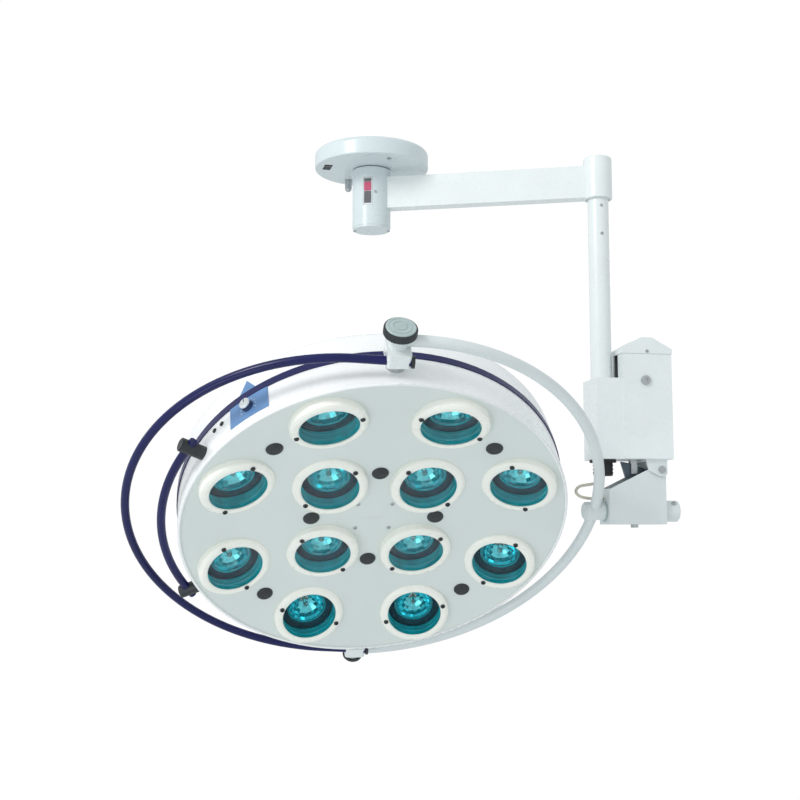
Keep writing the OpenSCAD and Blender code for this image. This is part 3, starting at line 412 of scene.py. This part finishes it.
# cups with two rolled beads in the wall and a rolled edge round the mirror's mouth
bm = bmesh.new()
for lamp in LAMPS:
    profile = [(51, -6.5)]
    for z in (2, 12):
        profile += [(51, z - 1.2), (49.9, z - 0.6), (49.6, z), (49.9, z + 0.6), (51, z + 1.2)]
    profile += [(51, 21.5), (36.6, 21.5), (35.5, 20.6), (34.7, 21.2), (34.5, 22.9), (53.2, 22.9),
                (53.2, -6.5), (51, -6.5)]
    lathe(bm, profile, lamp, 80)
bmesh.ops.remove_doubles(bm, verts=bm.verts, dist=1e-6)
piece("cup_walls", bm, MATS["cup_paint"], "head", ["lamp_cups"])
# A dark teal ring on each cup's floor and lower wall: painted shade round the mirror's mouth.
bm = bmesh.new()
for lamp in LAMPS:
    lathe(bm, [(37.6, 21.4), (38.4, 20.9), (49.4, 20.9), (50.4, 20.2), (50.4, 17.4), (50.9, 17.4),
               (50.9, 21.4), (37.6, 21.4)], lamp, 80)
bmesh.ops.remove_doubles(bm, verts=bm.verts, dist=1e-6)
piece("cup_floor_painted_shade", bm, CUP_SHADE, "head")

# ------------------------------------------------------------------ screws and plugs of the head

BEZEL_SCREW_R = 57.5
CENTRE_SCREW = 31
OUTER_PLUG_R, INNER_PLUG_R = 267.5, 113.5
WALL_PLUG_ANGLES = (214.8, 218)
WALL_PLUG_Z = 7


def cross_head(bm, place, radius, height, slot_w, slot_l):
    """A domed screw head on z from 0 to -height, with a cross recess."""
    lathe(bm, [(radius, 0), (radius, -height * 0.45), (radius * 0.86, -height * 0.8),
               (radius * 0.55, -height * 0.97), (slot_l, -height)], place, 32)
    w = slot_w
    outline = [(slot_l, -w), (slot_l, w), (w, w), (w, slot_l), (-w, slot_l), (-w, w),
               (-slot_l, w), (-slot_l, -w), (-w, -w), (-w, -slot_l), (w, -slot_l), (w, -w)]
    prism(bm, outline, -height * 0.5, -height * 0.45, place)
    floor_z = -height * 0.5
    lathe(bm, [(slot_l, -height), (slot_l * 0.8, floor_z), (0, floor_z)], place, 32)


bm = bmesh.new()
for lamp in LAMPS:
    for y in (-BEZEL_SCREW_R, BEZEL_SCREW_R):
        cross_head(bm, lamp @ shift(0, y, -10.4) @ turn("Z", 25), 4.5, 3, 0.6, 2.2)
piece("ring_screws", bm, MATS["black_plastic"], "head", ["face_screws"], 45)
bm = bmesh.new()
for x in (-1, 1):
    for y in (-1, 1):
        place = on_face(CENTRE_SCREW * math.sqrt(2), math.degrees(math.atan2(y, x)))
        cross_head(bm, place, 4, 1.6, 0.5, 1.9)
        lathe(bm, [(2, 0), (2, 4.5), (0, 4.5)], place, 20)
piece("centre_screws", bm, MATS["zinc_steel"], "head", (), 45)

bm = bmesh.new()
for k in range(8):
    place = on_face(OUTER_PLUG_R, 45 + 90 * k) if k < 4 else on_face(INNER_PLUG_R, 90 * k)
    lathe(bm, [(0, -3.9), (4, -3.85), (7, -3.6), (7.6, -3.0), (8.2, -3.0), (8.8, -3.7),
               (12.2, -3.3), (14.2, -2.2), (15, -1.0), (15, -0.07), (11.8, -0.07), (11.6, 5),
               (9.8, 5), (9.8, -1.5), (0, -1.5)], place, 48)
for angle in WALL_PLUG_ANGLES:
    place = on_wall(angle) @ shift(0, 0, WALL_PLUG_Z) @ turn("Y", 90)
    lathe(bm, [(0, 3), (2.6, 2.9), (3.7, 2.3), (4.2, 1.4), (4.2, -0.1)], place, 32)
piece("plug_caps", bm, MATS["black_plastic"], "head", ["hole_plugs"], 50)

# ------------------------------------------------------------------ lock knob

KNOB = HEAD @ turn("X", 90)
bm = bmesh.new()
lathe(bm, [(9.2, 416.2), (15, 416.2), (15, 417.9), (24.5, 417.9)] + arc(26, 419.8, 1.9, -90, -10, 4)
      + [(27.9, 421), (27.9, 429), (27.3, 430.8), (25.6, 431.6), (24.8, 431.6), (24.8, 430), (9.2, 430)],
      KNOB, 120, lambda r, k: r - (0.9 if r > 27.5 and k % 3 == 0 else 0))
piece("lock_grip", bm, MATS["black_plastic"], "lock", ["lock_knob"], 30)
bm = bmesh.new()
lathe(bm, [(24.7, 430.2), (24.7, 432.6), (23.6, 433.6), (20.4, 433.9), (19.9, 433.1),
           (17.9, 433.1), (17.4, 434.1), (12.9, 434.3), (12.4, 433.4), (9.9, 433.4),
           (9.4, 434.4), (3, 434.5), (0, 434.5)], KNOB, 72)
piece("lock_disc", bm, KNOB_GREY, "lock", (), 30)

# ------------------------------------------------------------------ dimmer and panel marks

PANEL_ANGLE = 228.1
TICK_R = 14.5
WALL = on_wall(PANEL_ANGLE)
DIMMER = WALL @ turn("Y", 90)
bm = bmesh.new()
lathe(bm, [(0, -6), (3.9, -6), (3.9, 2.1), (10.9, 2.1), (10.9, 3.4), (9.9, 4.6), (9.4, 9.4), (0, 9.4)],
      DIMMER, 96, lambda r, k: r - (0.4 if 9 < r < 10.5 and k % 4 == 0 else 0))
# The skirt's dark blue is painted shadow round the foot of the white cap.
piece("dimmer_skirt", bm, DIMMER_SHADE_AND_MARK_BLUE, "dimmer", ["dimmer_knob"], 30)
bm = bmesh.new()
lathe(bm, [(9.6, 9.2), (9.9, 9.8), (9.9, 12), (9.2, 12.9), (7.6, 13.1), (0, 13.1)], DIMMER, 96)
piece("dimmer_cap", bm, MATS["white_plastic"], "dimmer", (), 40)
bm = bmesh.new()
brick(bm, (13.0, -0.6, 1), (13.5, 0.6, 8.6), WALL)
piece("dimmer_pointer", bm, DIMMER_SHADE_AND_MARK_BLUE, "dimmer")
bm = bmesh.new()
for k in range(9):
    place = WALL @ turn("X", -120 + 30 * k)
    y = TICK_R * math.sin(math.radians(-120 + 30 * k))
    sag = HEAD_R - math.sqrt(HEAD_R ** 2 - y ** 2)
    length = 3.4 if k % 4 == 0 else 2.2
    brick(bm, (1.2 - sag, -0.45, TICK_R), (1.62 - sag, 0.45, TICK_R + length), place)
piece("panel_ticks", bm, TICK_WHITE, "head")

# ------------------------------------------------------------------ window in the stem

STEM = Matrix.Identity(4)
bm = bmesh.new()
brick(bm, (-7.2, -37.0, -87.5), (7.2, -36.5, -69.5), STEM)
piece("window_upper", bm, RED_TAG, "arm")
bm = bmesh.new()
brick(bm, (-7.2, -37.0, -112.5), (7.2, -36.5, -88.3), STEM)
brick(bm, (-7.2, -37.0, -69.0), (7.2, -36.5, -62.5), STEM)
for k in range(3):
    brick(bm, (-5.2, -37.15, -93 - 6 * k), (5.2, -36.9, -92.4 - 6 * k), STEM)
piece("window_lower", bm, DARK_TAG, "arm")

# ------------------------------------------------------------------ weld beads


def weld(bm, centre, axis_frame, radius, thickness, wobble=0.35):
    """A slightly uneven bead of weld round a joint."""
    n = 72
    ring = []
    for k in range(n):
        a = 2 * math.pi * k / n
        r = radius + wobble * 0.4 * math.sin(a * 17)
        ring.append([bm.verts.new(axis_frame @ (Vector((
            (r + thickness * math.cos(b)) * math.cos(a), (r + thickness * math.cos(b)) * math.sin(a),
            centre + thickness * math.sin(b) + wobble * 0.3 * math.sin(a * 23))) * MM))
            for b in (2 * math.pi * j / 8 for j in range(8))])
    for k in range(n):
        m = (k + 1) % n
        for j in range(8):
            i = (j + 1) % 8
            bm.faces.new((ring[k][j], ring[m][j], ring[m][i], ring[k][i]))


bm = bmesh.new()
for y in (-405, 405):
    weld(bm, 14.5, HEAD @ shift(0, y, 0) @ turn("Y", 90), 10.2, 1.1)
piece("eye_welds", bm, MATS["grey_enamel"], "yoke")

# ------------------------------------------------------------------ stage and light

floor = bpy.data.objects.new("floor", bpy.data.meshes.new("floor"))
scene.collection.objects.link(floor)
bm = bmesh.new()
bmesh.ops.create_circle(bm, cap_ends=True, segments=96, radius=2.4)
bm.to_mesh(floor.data)
bm.free()
floor.location = (0.2, -0.1, -2.05)
floor.data.materials.append(finish("floor_paint", srgb(232, 235, 236), 0.7, shade=0.03, tone=2))

world = bpy.data.worlds.new("world")
scene.world = world
world.use_nodes = True
tree = world.node_tree
tree.nodes.clear()
out = tree.nodes.new("ShaderNodeOutputWorld")
background = tree.nodes.new("ShaderNodeBackground")
seen = tree.nodes.new("ShaderNodeBackground")
seen.inputs["Color"].default_value = (1, 1, 1, 1)
seen.inputs["Strength"].default_value = 1.02
path = tree.nodes.new("ShaderNodeLightPath")
switch = tree.nodes.new("ShaderNodeMixShader")
where = tree.nodes.new("ShaderNodeTexCoord")
split = tree.nodes.new("ShaderNodeSeparateXYZ")
ramp = tree.nodes.new("ShaderNodeMapRange")
ramp.inputs["From Min"].default_value = -1
ramp.inputs["From Max"].default_value = 1
ramp.inputs["To Min"].default_value = 0.72
ramp.inputs["To Max"].default_value = 0.74
background.inputs["Color"].default_value = (0.94, 0.98, 1.0, 1)
tree.links.new(where.outputs["Generated"], split.inputs[0])
tree.links.new(split.outputs["Z"], ramp.inputs["Value"])
tree.links.new(ramp.outputs[0], background.inputs["Strength"])
tree.links.new(path.outputs["Is Camera Ray"], switch.inputs[0])
tree.links.new(background.outputs[0], switch.inputs[1])
tree.links.new(seen.outputs[0], switch.inputs[2])
tree.links.new(switch.outputs[0], out.inputs[0])


def area_light(name, place, target, size, power, color):
    data = bpy.data.lights.new(name, "AREA")
    data.shape = "DISK"
    data.size = size
    data.energy = power
    data.color = color
    light = bpy.data.objects.new(name, data)
    scene.collection.objects.link(light)
    light.location = place
    aim = Vector(target) - Vector(place)
    light.rotation_euler = aim.to_track_quat("-Z", "Y").to_euler()
    light.visible_camera = False


area_light("key", (-1.5, -2.6, 1.2), (0.2, 0, -0.6), 1.2, 44, (1.0, 0.99, 0.98))
area_light("lift", (-0.9, -2.0, -1.9), (0.1, -0.1, -0.75), 1.4, 9, (0.97, 1.0, 1.0))
scene.view_settings.view_transform = "Standard"
